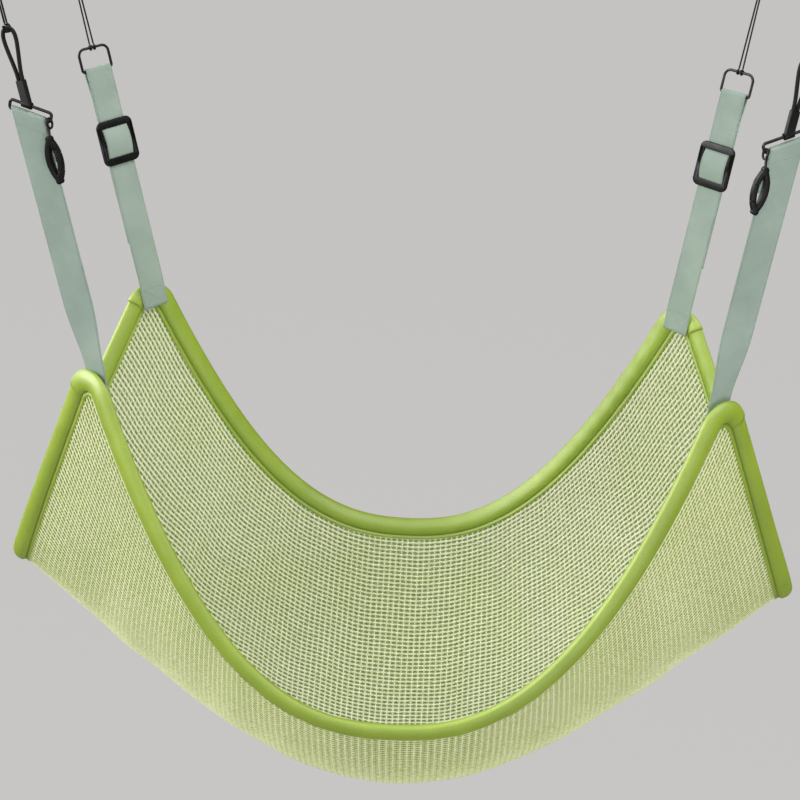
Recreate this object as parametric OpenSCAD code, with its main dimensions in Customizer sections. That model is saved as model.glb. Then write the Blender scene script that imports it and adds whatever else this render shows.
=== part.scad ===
// Hanging pet hammock: a net bed with a padded binding, slung by its four corners.
// Millimetres, +Z up, front towards -Y. The origin is under the middle of the bed, at its lowest point.

/* [Bed] */
// Half the distance between the left and right corners
corner_x = 270; // [230:1:310]
// Half the distance between the front and rear corners
corner_y = 142; // [120:1:170]
// How far the long rims hang below the corners
rim_dip = 302; // [260:1:340]
// Half the distance between the long rims at mid length
rim_y = 216; // [190:1:250]
// How far the belly hangs below the long rims
belly = 159; // [120:1:190]
// How far the short ends hang below the corners
end_dip = 250; // [210:1:280]
// How far the short ends bow outward
end_bow = 103; // [80:1:140]
// Length of each blunt corner along its two edges
corner_cut = 36; // [32:1:44]
// Thickness of the net
net_t = 2; // [1.5:0.1:3]
// Number of openings in the net along the bed
gaps_along = 12; // [8:1:12]
// Number of openings in the net across the bed
gaps_across = 8; // [6:1:10]
// Part of the net's pitch that is open
gap_part = 0.58; // [0.4:0.02:0.7]

/* [Binding] */
// Width of the binding across the net's edge
bind_w = 24; // [20:0.5:28]
// Thickness of the padded binding
bind_t = 11; // [9:0.25:13]
// How deep the net's edge sits in the binding
bind_in = 12; // [10:0.5:14]
// Width of the short ends' binding, as a part of the long one's
end_bind = 0.88; // [0.8:0.02:1]

/* [Straps] */
// Width of the webbing
strap_w = 28; // [24:0.5:28.5]
// Thickness of the webbing
strap_t = 1.6; // [1.2:0.1:2]
// Length of a strap from its seam to its ring
strap_len = 218; // [195:1:270]
// How far the straps lean outward, in degrees
strap_lean = 10.5; // [4:0.5:16]
// How far all straps sway to the left, in degrees
strap_sway = 2.5; // [0:0.5:5]
// How far the front straps turn to face the front, in degrees
strap_turn = 26; // [0:1:30]
// Length above its seam over which a front strap turns
turn_len = 60; // [50:1:80]
// Length of webbing sewn to the corner
tail_len = 24; // [18:0.5:28]
// How far the front rings sit askew in their hems, in degrees
ring_skew = 26; // [16:1:27]
// Length of the front straps' hems
hem_len = 34; // [30:1:48]
// Length of webbing that returns behind the rear straps
return_len = 172; // [165:1:185]

/* [Rings] */
// Wire of the rings
ring_wire = 2.6; // [2:0.1:3]
// Inside width of the rear rings
ring_in_w = 30; // [29.5:0.5:36]
// Inside height of the rear rings
ring_in_h = 19; // [16:0.5:24]
// Inside width of the flat front rings
flat_in_w = 35.5; // [35:0.5:40]
// Inside height of the flat front rings
flat_in_h = 5; // [4.5:0.5:12]
// Corner radius of the rings at the middle of the wire
ring_corner = 2.4; // [2:0.1:2.5]
// Radius of the rear rings' upper corners at the middle of the wire
ring_top = 6.5; // [3:0.5:8]

/* [Adjusters] */
// Width of the slide adjusters
slider_w = 40; // [38:0.5:44]
// Height of the slide adjusters
slider_h = 44; // [41:0.5:48]
// Thickness of the slide adjusters
slider_t = 2.6; // [2:0.1:3.4]
// Width of their top and bottom bars
slider_bar = 7.2; // [5:0.1:8]
// Corner radius of the slide adjusters
slider_round = 6.5; // [3:0.5:7]
// Width of their middle bar
slider_mid = 5; // [4:0.1:6]
// Distance from a rear ring down to its slide adjuster
slider_drop = 71; // [62:1:90]

/* [Lanyards] */
// Width of the lanyard sleeves
sleeve_w = 8.4; // [8.2:0.1:10]
// Thickness of the lanyard sleeves
sleeve_t = 5.2; // [4.6:0.1:6]
// Length of the lanyard sleeves
sleeve_len = 20; // [16:1:32]
// Diameter of the lanyard loops' cord
lanyard_d = 3.4; // [3:0.1:3.6]

/* [Clips] */
// Length of the snap clips' bodies
clip_len = 40; // [38:0.5:44]
// Width of the snap clips' bodies
clip_w = 14; // [13.6:0.1:15]
// Thickness of the snap clips' bodies
clip_t = 5; // [4.6:0.1:5.6]
// Length of the neck between a snap clip's eye and its body
clip_neck = 4; // [3:0.5:6]
// Radius of the snap clips' rounded tips
clip_tip = 2.6; // [2:0.1:3]
// Length of the slot in a snap clip
clip_slot_len = 26; // [24:0.5:27]
// Width of the slot in a snap clip
clip_slot_w = 5.2; // [4.8:0.1:5.6]
// Diameter of the gates' pivot pins
pin_d = 1.6; // [1.4:0.1:1.8]

/* [Ties] */
// Diameter of the tie cords
tie_d = 1.6; // [1.4:0.1:1.8]
// Length of the crimps on the tie cords
crimp_len = 9; // [6:0.5:10]

/* [Hidden] */
big = 400;

// Colours
lime = "#a5c34b";
net_green = "#c3cd9b";
webbing = "#98aa9e";
black = "#1c1d1c";
steel = "#2b2c2c";

// Clearances
gap = 0.3;
sew_gap = 0.5;
join_gap = 0.8;
slot_gap = 0.6;
wire_gap = 0.15;
loop_gap = 0.6;
pin_gap = 0.03;
gate_gap = 0.06;

// Shape of the bed's curves: how sharply each bends at its lowest point, and how full it is
end_round = 0.35;
belly_round = 0.6;
rim_power = 2.4;
flare_power = 3;
blunt_power = 1.2;

// The bed's surface, with u along its length and v across it, both from -1 to 1
base_z = rim_dip + belly + net_t / 2;
function bend(x, e) = (sqrt(x * x + e * e) - e) / (sqrt(1 + e * e) - e);
function fall(u, v) = 1 - u * u * bend(v, end_round) - (1 - u * u) * v * v;
function rim_z(u) = -rim_dip * (1 - pow(abs(u), rim_power));
function mid_z(u) = -end_dip - (rim_dip + belly - end_dip) * (1 - bend(u, belly_round));
function half_y(u) = corner_y + (rim_y - corner_y) * (1 - pow(abs(u), flare_power));
function surf(u, v) = [
    corner_x * u + end_bow * u * fall(u, v),
    half_y(u) * v,
    base_z + rim_z(u) + (mid_z(u) - rim_z(u)) * fall(u, v)
];
step_uv = 0.002;
function along_u(u, v) = (surf(u + step_uv, v) - surf(u - step_uv, v)) / (2 * step_uv);
function along_v(u, v) = (surf(u, v + step_uv) - surf(u, v - step_uv)) / (2 * step_uv);
function unit(a) = a / norm(a);
function normal(u, v) = unit(cross(along_u(u, v), along_v(u, v)));

// The blunt corners
cut_u = corner_cut / norm(along_u(1, 1));
cut_v = corner_cut / norm(along_v(1, 1));
function blunt_u(turn) = 1 - cut_u * (1 - pow(sin(turn), blunt_power));
function blunt_v(turn) = 1 - cut_v * (1 - pow(cos(turn), blunt_power));
turns = [0, 22.5, 45, 67.5, 90];

// Lines of the net, two for each opening: across the bed between the blunt corners,
// and along it with a strip at each end
side_v = 1 - cut_v;
pitch_v = 2 * side_v / (gaps_across - 1 + gap_part);
lines_v = [for (k = [0 : gaps_across - 1]) each [k * pitch_v - side_v, (k + gap_part) * pitch_v - side_v]];
pitch_u = 2 / (gaps_along + 1 - gap_part);
lines_u = [for (k = [0 : gaps_along]) each [k * pitch_u - 1, (k + 1 - gap_part) * pitch_u - 1]];
// Spreads the lines so that they lie evenly on the steep ends
col_even = 1.35;
cols = [for (t = lines_u) t * (col_even - (col_even - 1) * t * t)];
// Rows as pairs of v and the u that the row reaches
rows = concat(
    [for (t = turns) [-blunt_v(t), blunt_u(t)]],
    [for (i = [1 : len(lines_v) - 2]) [lines_v[i], 1]],
    [for (i = [len(turns) - 1 : -1 : 0]) [blunt_v(turns[i]), blunt_u(turns[i])]]
);
first_gap = len(turns) - 1;
function is_open(i, j) =
    i >= first_gap && i <= len(rows) - 2 - first_gap && (i - first_gap) % 2 == 0 && j % 2 == 1;

// Joins rings of points into a closed tube with the given triangles at its ends
function strip_faces(rings, size) = [
    for (k = [0 : rings - 2]) for (i = [0 : size - 1])
        let (j = (i + 1) % size)
        each [
            [k * size + i, (k + 1) * size + i, (k + 1) * size + j],
            [k * size + i, (k + 1) * size + j, k * size + j]
        ]
];
function moved(faces, by) = [for (f = faces) [for (i = f) i + by]];
function flipped(faces) = [for (f = faces) [f[2], f[1], f[0]]];
module tube(rings, cap) {
    size = len(rings[0]);
    last = (len(rings) - 1) * size;
    polyhedron(
        points = [for (r = rings) each r],
        faces = concat(strip_faces(len(rings), size), cap, moved(flipped(cap), last)),
        convexity = 6
    );
}

// A round cord along flat points in x and z
function flat_tangent(p, i) = unit(p[min(i + 1, len(p) - 1)] - p[max(i - 1, 0)]);
function cord_ring(at, t, r, sides) = [
    for (k = [0 : sides - 1])
        let (a = 360 * k / sides)
        [at[0] + r * cos(a) * t[1], r * sin(a), at[1] - r * cos(a) * t[0]]
];
module flat_cord(points, d) {
    sides = 8;
    cap = [for (i = [1 : sides - 2]) [0, i, i + 1]];
    tube([for (i = [0 : len(points) - 1]) cord_ring(points[i], flat_tangent(points, i), d / 2, sides)], cap);
}

// The net, one closed skin between its two faces, with walls round its edge and its openings
function wall(loop, under) = [
    for (k = [0 : len(loop) - 1])
        let (a = loop[k], b = loop[(k + 1) % len(loop)])
        each [[a, b, b + under], [a, b + under, a + under]]
];
module mesh_bed() {
    n_r = len(rows);
    n_c = len(cols);
    mid = [for (r = rows) for (c = cols) [c * r[1], r[0]]];
    top = [for (q = mid) surf(q[0], q[1]) + normal(q[0], q[1]) * net_t / 2];
    low = [for (q = mid) surf(q[0], q[1]) - normal(q[0], q[1]) * net_t / 2];
    under = n_r * n_c;
    skin = [
        for (i = [0 : n_r - 2]) for (j = [0 : n_c - 2])
            let (a = i * n_c + j, b = a + 1, c = a + n_c + 1, d = a + n_c)
            if (!is_open(i, j)) each [[a, c, b], [a, d, c]]
    ];
    rim = concat(
        [for (j = [0 : n_c - 1]) j],
        [for (i = [1 : n_r - 1]) i * n_c + n_c - 1],
        [for (j = [n_c - 2 : -1 : 0]) (n_r - 1) * n_c + j],
        [for (i = [n_r - 2 : -1 : 1]) i * n_c]
    );
    gaps = [
        for (i = [0 : n_r - 2]) for (j = [0 : n_c - 2])
            let (a = i * n_c + j, b = a + 1, c = a + n_c + 1, d = a + n_c)
            if (is_open(i, j)) each wall([a, d, c, b], under)
    ];
    color(net_green)
        polyhedron(
            points = concat(top, low),
            faces = concat(skin, moved(flipped(skin), under), wall(rim, under), gaps),
            convexity = 10
        );
}

// Section of a binding across the edge: a folded pad with a slot for the net
bind_out = bind_w - bind_in;
slot_half = net_t / 2 + slot_gap;
lip_t = 1;
function bind_section(part) = let (h = bind_t / 2 * part, o = bind_out * part, n = bind_in * part) [
    [n, slot_half + lip_t], [n * 0.55, h * 0.92], [-o * 0.2, h], [-o * 0.75, h * 0.66],
    [-o, 0],
    [-o * 0.75, -h * 0.66], [-o * 0.2, -h], [n * 0.55, -h * 0.92], [n, -slot_half - lip_t],
    [n, -slot_half], [-slot_gap, -slot_half], [-slot_gap, slot_half], [n, slot_half]
];
bind_cap = [
    [12, 0, 1], [12, 1, 11], [11, 1, 2], [11, 2, 3], [11, 3, 4], [11, 4, 10],
    [10, 4, 5], [10, 5, 6], [10, 6, 7], [10, 7, 9], [9, 7, 8]
];
// The path runs on past both ends of the binding, so that its end faces stand square to the edge
module binding(path, part) {
    spots = [for (q = path) surf(q[0], q[1])];
    section = bind_section(part);
    last = len(path) - 2;
    rings = [
        for (i = [1 : last])
            let (
                up = normal(path[i][0], path[i][1]),
                raw = (i < last ? spots[i + 1] - spots[i] : [0, 0, 0])
                    + (i > 1 ? spots[i] - spots[i - 1] : [0, 0, 0])
                    + (i == 1 ? big * (spots[1] - spots[0]) : [0, 0, 0])
                    + (i == last ? big * (spots[last + 1] - spots[last]) : [0, 0, 0]),
                t = unit(raw - up * (raw * up)),
                in = cross(up, t)
            )
            [for (s = section) spots[i] + in * s[0] + up * s[1]]
    ];
    color(lime) tube(rings, bind_cap);
}

// Long bindings run round both blunt corners of their rim
long_path = concat(
    [[-1, cut_v / 2 + cut_v - 1]],
    [for (i = [len(turns) - 1 : -1 : 1]) [-blunt_u(turns[i]), -blunt_v(turns[i])]],
    [for (c = cols) [c * (1 - cut_u), -1]],
    [for (i = [1 : len(turns) - 1]) [blunt_u(turns[i]), -blunt_v(turns[i])]],
    [[1, cut_v / 2 + cut_v - 1]]
);
end_reach = side_v - join_gap / norm(along_v(1, 1));
end_path = concat(
    [[1, -end_reach - cut_v / 2]],
    [for (v = lines_v) [1, min(end_reach, max(-end_reach, v))]],
    [[1, end_reach + cut_v / 2]]
);
module binding_front() binding(long_path, 1);
module binding_rear() rotate([0, 0, 180]) binding(long_path, 1);
module binding_right() binding(end_path, end_bind);
module binding_left() rotate([0, 0, 180]) binding(end_path, end_bind);

// Frames at the front right corner, as a strap on that side has them: the seam lies in the net's plane,
// and the strap leans from it
seam_u = blunt_u(45);
seam_v = -blunt_v(45);
net_in = normal(seam_u, seam_v);
function strap_up(side) = let (lean = strap_lean - side * strap_sway) [sin(lean), 0, cos(lean)];
function tail_up(side) = unit(strap_up(side) - net_in * (strap_up(side) * net_in));
function seam_x(side) = cross(net_in, tail_up(side));
function strap_in(side) = cross(strap_up(side), seam_x(side));
function seam_at(side) = surf(seam_u, seam_v) + tail_up(side) * (bind_out + strap_t / 2 + gap)
    + net_in * (bind_t / 2 + sew_gap + strap_t / 2);
module in_frame(x, y, z, at)
    multmatrix([
        [x[0], y[0], z[0], at[0]],
        [x[1], y[1], z[1], at[1]],
        [x[2], y[2], z[2], at[2]],
        [0, 0, 0, 1]
    ]) children();
// Moves the front right corner's pieces to the corner on that side and end
module at_corner(side, end)
    mirror([side < 0 ? 1 : 0, 0, 0])
        mirror([0, end > 0 ? 1 : 0, 0])
            children();
module on_tail(side, end)
    at_corner(side, end) in_frame(seam_x(side), net_in, tail_up(side), seam_at(side)) children();
module on_seam(side, end)
    at_corner(side, end) in_frame(seam_x(side), strap_in(side), strap_up(side), seam_at(side)) children();
module on_strap(side, end) on_seam(side, end) rotate([0, 0, end < 0 ? -strap_turn : 0]) children();

// Shapes that repeat
module rounded_rect(w, h, r) {
    square([w - 2 * r, h], center = true);
    square([w, h - 2 * r], center = true);
    for (x = [-1, 1]) for (y = [-1, 1]) translate([x * (w / 2 - r), y * (h / 2 - r)]) circle(r);
}
module along_x(length) rotate([90, 0, 90]) linear_extrude(length, center = true) children();
module rod_x(d, length) rotate([0, 90, 0]) cylinder(d = d, h = length, center = true);
$fn = 48;

// Sewn end of a strap, flat on the inside of the corner's binding
module strap_tail(side, end) {
    top = -strap_t / 2 - gap;
    color(webbing) on_tail(side, end)
        translate([-strap_w / 2, -strap_t / 2, top - tail_len]) cube([strap_w, strap_t, tail_len]);
}

// Webbing strap with its hem or return folded round the ring's lower bar
tunnel_r = ring_wire / 2 + gap;
bar_y = strap_t / 2 + tunnel_r;
close_len = 26;
function arc(r, from, to) = [
    for (i = [0 : 16]) let (a = from + (to - from) * i / 16) [r * cos(a), r * sin(a)]
];
module hem_profile(length) {
    out = tunnel_r + strap_t;
    near = gap - tunnel_r;
    polygon(concat(
        [[-out, -big]],
        arc(out, 180, 0),
        [[near + strap_t, -close_len], [near + strap_t, -length], [near, -length], [near, -close_len]],
        arc(tunnel_r, 0, 180),
        [[-tunnel_r, -big]]
    ));
}
// Side view that a strap is cut to: a blunt nose at its seam, open above it
module nose_profile() {
    r = strap_t / 2;
    polygon([
        [-big, big], [-big, r], [-r, 0], [-r * cos(45), -r * sin(45)], [0, -r],
        [r * cos(45), -r * sin(45)], [r, 0], [big, r], [big, big]
    ]);
}
// Lower end of a front strap: a blunt nose at its seam, then the turn, tucked into the straight part above
turn_steps = 12;
tuck = 0.05;
across = [-1, -0.5, 0, 0.5, 1];
function turn_ring(z, half_t, a) = [
    for (q = concat([for (x = across) [x, -half_t]], [for (x = across) [-x, half_t]]))
        let (x = q[0] * (strap_w / 2 - tuck))
        [x * cos(a) - q[1] * sin(a), x * sin(a) + q[1] * cos(a), z]
];
function turn_at(part) = -strap_turn * part * part * (3 - 2 * part);
module turned_end() {
    r = strap_t / 2 - tuck;
    rings = concat(
        [turn_ring(-r, r * 0.2, 0), turn_ring(-r * 0.7, r * 0.7, 0)],
        [for (i = [0 : turn_steps]) turn_ring(turn_len * i / turn_steps, r, turn_at(i / turn_steps))],
        [turn_ring(turn_len + strap_t, r, turn_at(1))]
    );
    tube(rings, [for (i = [0 : 3]) each [[i, i + 1, 8 - i], [i, 8 - i, 9 - i]]]);
}
module strap(side, end, skew, fold, length)
    color(webbing) {
        on_strap(side, end) intersection() {
            on_bar(skew, fold) along_x(2 * big) scale_side(fold) hem_profile(length);
            along_x(strap_w) {
                if (end > 0) nose_profile();
                else translate([-big, turn_len]) square([2 * big, big]);
            }
        }
        if (end < 0) on_seam(side, end) turned_end();
    }
module scale_side(fold) mirror([fold < 0 ? 1 : 0, 0]) children();
module on_bar(skew, fold) translate([0, fold * bar_y, strap_len]) rotate([0, -skew, 0]) children();

// Rectangular wire ring, its lower bar in the strap's fold
function ring_half(end) = ((end < 0 ? flat_in_w : ring_in_w) + ring_wire) / 2;
function ring_high(end) = (end < 0 ? flat_in_h : ring_in_h) + ring_wire;
module ring_shape(half, high, top) {
    rod_x(ring_wire, 2 * (half - ring_corner));
    translate([0, 0, high]) rod_x(ring_wire, 2 * (half - top));
    for (x = [-1, 1])
        translate([x * half, 0, ring_corner]) cylinder(d = ring_wire, h = high - ring_corner - top);
    for (q = [[-1, -1, 180], [1, -1, 270], [1, 1, 0], [-1, 1, 90]]) {
        r = q[1] > 0 ? top : ring_corner;
        translate([q[0] * (half - r), 0, q[1] > 0 ? high - r : r])
            rotate([90, 0, 0])
                rotate([0, 0, q[2]])
                    rotate_extrude(angle = 90) translate([r, 0]) circle(d = ring_wire);
    }
}
module ring(side, end, skew, fold)
    color(steel) on_strap(side, end) on_bar(skew, fold)
        ring_shape(ring_half(end), ring_high(end), end < 0 ? ring_corner : ring_top);

// Slide adjuster on the inside of a rear strap, and the webbing that crosses its middle bar
slider_z = strap_len - slider_drop;
slider_y = strap_t / 2 + gap;
slot_h = (slider_h - 2 * slider_bar - slider_mid) / 2;
slot_w = strap_w + 1.4;
web_rise = 0.4;
module adjuster(side) {
    color(black) on_strap(side, 1)
        translate([0, slider_y + slider_t, slider_z]) rotate([90, 0, 0]) linear_extrude(slider_t)
            difference() {
                rounded_rect(slider_w, slider_h, slider_round);
                for (z = [-1, 1])
                    translate([0, z * (slider_mid + slot_h) / 2]) square([slot_w, slot_h], center = true);
            }
}
module adjuster_web(side) {
    reach = slider_mid / 2 + slot_h - gap;
    high = slider_t + web_rise;
    r = (reach * reach + high * high) / (2 * high);
    color(webbing) on_strap(side, 1)
        translate([0, slider_y, slider_z]) along_x(strap_w)
            intersection() {
                translate([high - r, 0]) difference() {
                    circle(r + strap_t, $fn = 160);
                    circle(r, $fn = 160);
                }
                translate([0, -reach]) square([high + strap_t, 2 * reach]);
            }
}

// Lanyard on a front ring: a sleeve with an eye on the upper bar, and a loop of thick cord
eye_wall = 1.7;
module on_lanyard(side)
    on_strap(side, -1)
        translate([0, bar_y, strap_len + ring_high(-1) / cos(ring_skew)])
            children();
module lanyard_sleeve(side) {
    eye_d = ring_wire + 2 * eye_wall;
    color(black) on_lanyard(side) difference() {
        union() {
            rotate([0, -ring_skew, 0]) rod_x(eye_d, sleeve_w);
            linear_extrude(sleeve_len) rounded_rect(sleeve_w, sleeve_t, 1.8);
        }
        rotate([0, -ring_skew, 0]) rod_x(ring_wire + 2 * wire_gap, 3 * sleeve_w);
    }
}
// Half of the loop from the sleeve to its top
loop_half = [
    [-1.9, 0], [-2, 5], [-2.7, 11], [-3.8, 18], [-4.9, 25], [-5.6, 31], [-5.5, 36], [-4.3, 39.6], [-2.2, 41.6]
];
loop_top = 42.1;
function mirrored(half, top) = concat(
    half, [[0, top]], [for (i = [len(half) - 1 : -1 : 0]) [-half[i][0], half[i][1]]]
);
module lanyard_loop(side)
    color(black) on_lanyard(side) translate([0, 0, sleeve_len + wire_gap])
        flat_cord(mirrored(loop_half, loop_top), lanyard_d);

// Hitch of a tie cord: two turns round what it hangs from, and the bight across them
function hung_on(end) = end < 0 ? lanyard_d : ring_wire;
function hitch_apart(end) = end < 0 ? 1.1 : 2.1;
function turn_r(end) = hung_on(end) / 2 + (end < 0 ? loop_gap : wire_gap) + tie_d / 2;
module hitch_shape(end) {
    for (x = [-1, 1]) translate([x * hitch_apart(end), 0, 0]) rotate([0, 90, 0])
        rotate_extrude() translate([turn_r(end), 0]) circle(d = tie_d);
    for (y = [-1, 1]) translate([0, y * turn_r(end), 0]) rod_x(tie_d, 2 * hitch_apart(end));
}
// A tie hangs from the top of a front lanyard's loop, or from the upper bar of a rear ring
module on_tie(side, end) {
    if (end < 0) on_lanyard(side) translate([0, 0, sleeve_len + loop_top]) children();
    else on_strap(side, end) translate([0, -bar_y, strap_len + ring_high(end)]) children();
}
module hitch(side, end) color(black) on_tie(side, end) hitch_shape(end);

// Half of a tie cord from its hitch to the top of its eye, measured from the top of the hitch
strand_x = 1.1;
crimp_z = 80.5;
tie_rise = [0, 6, 14, 24, 34, 44, 54, 64, 72];
tie_eye = [[-1.1, 80], [-1.1, 90], [-1.9, 95], [-3.4, 99], [-4.2, 103], [-3.8, 107], [-2.1, 109.6]];
tie_top = 110.6;
function tie_half(end) = concat(
    [for (z = tie_rise) let (part = z / 80) [-hitch_apart(end) * (1 - part) - strand_x * part, z]],
    tie_eye
);
function tie_start(end) = turn_r(end) + tie_d / 2 + 0.05;
module tie_cord(side, end)
    color(black) on_tie(side, end) translate([0, 0, tie_start(end)])
        flat_cord(mirrored(tie_half(end), tie_top), tie_d);
module tie_crimp(side, end) {
    wall = 1.1;
    hole_d = tie_d + 2 * wire_gap;
    color(black) on_tie(side, end) translate([0, 0, tie_start(end) + crimp_z])
        linear_extrude(crimp_len - 0.5) difference() {
            rounded_rect(2 * strand_x + hole_d + 2 * wall, hole_d + 2 * wall, 1.6);
            for (x = [-1, 1]) translate([x * strand_x, 0]) circle(d = hole_d);
            square([2 * strand_x, hole_d], center = true);
        }
}

// Snap clip hung from the inner lower corner of a front ring, in front of the strap's edge
eye_r = 3;
eye_wire = 2;
neck_d = 2.2;
arc_turn = 270 - ring_skew;
hook_x = -(ring_half(-1) - ring_corner) + ring_corner * cos(arc_turn);
hook_z = ring_corner + ring_corner * sin(arc_turn);
clip_at = [
    hook_x * cos(ring_skew) - hook_z * sin(ring_skew),
    bar_y,
    strap_len + hook_x * sin(ring_skew) + hook_z * cos(ring_skew)
];
clip_y = -(strap_t / 2 + gap + clip_t / 2) - bar_y;
eye_drop = eye_r - ring_wire / 2 - gap;
clip_top = -eye_drop - eye_r - eye_wire - clip_neck;
clip_mid = clip_top - clip_len / 2;
module on_clip(side) on_strap(side, -1) translate(clip_at) children();
module lens(length, width) {
    r = (length * length / 4 + width * width / 4) / width;
    intersection() {
        translate([r - width / 2, 0]) circle(r, $fn = 120);
        translate([width / 2 - r, 0]) circle(r, $fn = 120);
    }
}
module clip_outline() difference() {
    union() {
        lens(clip_len, clip_w);
        for (z = [-1, 1]) translate([0, z * (clip_len / 2 - clip_tip)]) circle(clip_tip);
    }
    lens(clip_slot_len, clip_slot_w);
}
module plate_y(t) rotate([90, 0, 0]) linear_extrude(t, center = true) children();
// The gate takes the place of one wall of the slot, between its pivot and the clip's nose
pivot_z = 8;
pivot_x = -3.8;
gate_low = -9;
knuckle_r = 2;
gate_top = pivot_z - knuckle_r - 0.8;
tongue_t = 2;
module gate_zone(low, high) translate([-clip_w, low]) square([clip_w, high - low]);
module clip_body(side) {
    neck_top = [0, -(eye_r + eye_wire / 2) * sin(45), -eye_drop - (eye_r + eye_wire / 2) * cos(45)];
    neck_end = [0, clip_y, clip_top - 2];
    neck = neck_end - neck_top;
    color(black) on_clip(side) {
        translate([0, 0, -eye_drop]) rotate([0, 90, 0])
            rotate_extrude() translate([eye_r + eye_wire / 2, 0]) circle(d = eye_wire);
        translate(neck_top) rotate([atan2(norm([neck[0], neck[1]]), neck[2]), 0, 0])
            cylinder(d = neck_d, h = norm(neck));
        translate([0, clip_y, clip_mid]) difference() {
            plate_y(clip_t) clip_outline();
            plate_y(2 * clip_t) gate_zone(gate_low - gap, gate_top + gap);
            plate_y(tongue_t + 2 * gap) {
                translate([pivot_x, pivot_z]) circle(knuckle_r + gap);
                gate_zone(gate_top, pivot_z);
            }
            translate([pivot_x, 0, pivot_z]) rotate([90, 0, 0])
                cylinder(d = pin_d + 2 * pin_gap, h = 2 * clip_t, center = true);
        }
    }
}
module clip_gate(side)
    color(black) on_clip(side) translate([0, clip_y, clip_mid]) difference() {
        union() {
            plate_y(clip_t - 0.4) intersection() {
                clip_outline();
                gate_zone(gate_low, gate_top);
            }
            plate_y(tongue_t) {
                translate([pivot_x, pivot_z]) circle(knuckle_r);
                intersection() {
                    clip_outline();
                    gate_zone(gate_top - 1, pivot_z);
                }
            }
        }
        translate([pivot_x, 0, pivot_z]) rotate([90, 0, 0])
            cylinder(d = pin_d + 2 * gate_gap, h = 2 * clip_t, center = true);
    }
module clip_pin(side)
    color(steel) on_clip(side) translate([pivot_x, clip_y, clip_mid + pivot_z]) rotate([90, 0, 0])
        cylinder(d = pin_d, h = clip_t, center = true);

mesh_bed();
binding_front();
binding_rear();
binding_left();
binding_right();
for (s = [-1, 1]) for (e = [-1, 1]) {
    corner = str(e < 0 ? "front" : "rear", "_", s < 0 ? "left" : "right");
    fold = -e;
    skew = e < 0 ? ring_skew : 0;
    strap_tail(s, e);
    strap(s, e, skew, fold, e < 0 ? hem_len : return_len);
    ring(s, e, skew, fold);
    hitch(s, e);
    tie_cord(s, e);
    tie_crimp(s, e);
    if (e > 0) {
        adjuster(s);
        adjuster_web(s);
    } else {
        lanyard_sleeve(s);
        lanyard_loop(s);
        clip_body(s);
        clip_gate(s);
        clip_pin(s);
    }
}
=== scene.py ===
"""Looks of the hanging cat hammock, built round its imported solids. Metres, +Z up, front towards -Y."""
import math

import bpy
import numpy as np
from mathutils import Matrix


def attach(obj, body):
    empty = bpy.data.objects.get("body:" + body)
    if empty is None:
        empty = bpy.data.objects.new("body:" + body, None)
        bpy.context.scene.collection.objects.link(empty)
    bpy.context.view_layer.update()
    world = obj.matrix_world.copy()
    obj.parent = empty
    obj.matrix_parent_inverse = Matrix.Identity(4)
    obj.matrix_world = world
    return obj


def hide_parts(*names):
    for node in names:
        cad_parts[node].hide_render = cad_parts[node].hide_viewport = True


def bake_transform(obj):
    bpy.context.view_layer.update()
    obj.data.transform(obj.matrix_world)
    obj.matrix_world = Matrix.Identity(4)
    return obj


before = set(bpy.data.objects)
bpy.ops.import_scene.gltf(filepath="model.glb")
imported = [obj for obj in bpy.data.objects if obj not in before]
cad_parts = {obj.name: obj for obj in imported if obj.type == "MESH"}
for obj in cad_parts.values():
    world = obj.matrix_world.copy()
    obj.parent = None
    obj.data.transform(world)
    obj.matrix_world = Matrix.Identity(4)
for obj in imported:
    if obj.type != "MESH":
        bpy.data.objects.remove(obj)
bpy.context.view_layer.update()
rng = np.random.default_rng(7)

# Sizes of the solids, in millimetres
CORNER_X, CORNER_Y, CORNER_CUT = 270, 142, 36
RIM_DIP, RIM_Y, BELLY, END_DIP, END_BOW = 302, 216, 159, 250, 103
NET_T, BIND_OUT, BIND_T, END_BIND = 2, 12, 11, 0.88
STRAP_W, STRAP_T, STRAP_LEN, TAIL_LEN = 28, 1.6, 218, 24
STRAP_LEAN, STRAP_SWAY, STRAP_TURN, TURN_LEN = 10.5, 2.5, 26, 60
RING_SKEW, HEM_LEN, RETURN_LEN, CLOSE_LEN = 26, 34, 172, 26
RING_WIRE, FRONT_RING_HIGH, REAR_RING_HIGH = 2.6, 7.6, 21.6
SLIDER_H, SLIDER_T, SLIDER_BAR, SLIDER_DROP = 44, 2.6, 7.2, 71
SLEEVE_LEN, LANYARD_D, TIE_D = 20, 3.4, 1.6
GAP, SEW_GAP, WIRE_GAP, LOOP_GAP, END_TUCK = 0.3, 0.5, 0.15, 0.6, 2
# Curves of the bed: how its sections round at the ends, the middle, the rims and the flare
END_ROUND, MID_ROUND, RIM_POWER, FLARE_POWER = 0.35, 0.6, 2.4, 3
# How blunt the bed's corners are, and the small step for slopes
BLUNT, STEP = 1.2, 0.002
MM = 0.001


# The bed's surface, with u along its length and v across it, both from -1 to 1
def bend(x, e):
    """A rise from 0 to 1 with its foot rounded by e."""
    return (np.sqrt(x * x + e * e) - e) / (math.sqrt(1 + e * e) - e)


def surf(u, v):
    """Points of the bed's surface, in millimetres."""
    u, v = np.broadcast_arrays(np.asarray(u, float), np.asarray(v, float))
    fall = 1 - u * u * bend(v, END_ROUND) - (1 - u * u) * v * v
    rim = -RIM_DIP * (1 - np.abs(u) ** RIM_POWER)
    mid = -END_DIP - (RIM_DIP + BELLY - END_DIP) * (1 - bend(u, MID_ROUND))
    half_y = CORNER_Y + (RIM_Y - CORNER_Y) * (1 - np.abs(u) ** FLARE_POWER)
    z = RIM_DIP + BELLY + NET_T / 2 + rim + (mid - rim) * fall
    return np.stack([CORNER_X * u + END_BOW * u * fall, half_y * v, z], -1)


def unit(a):
    return a / np.linalg.norm(a, axis=-1, keepdims=True)


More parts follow.
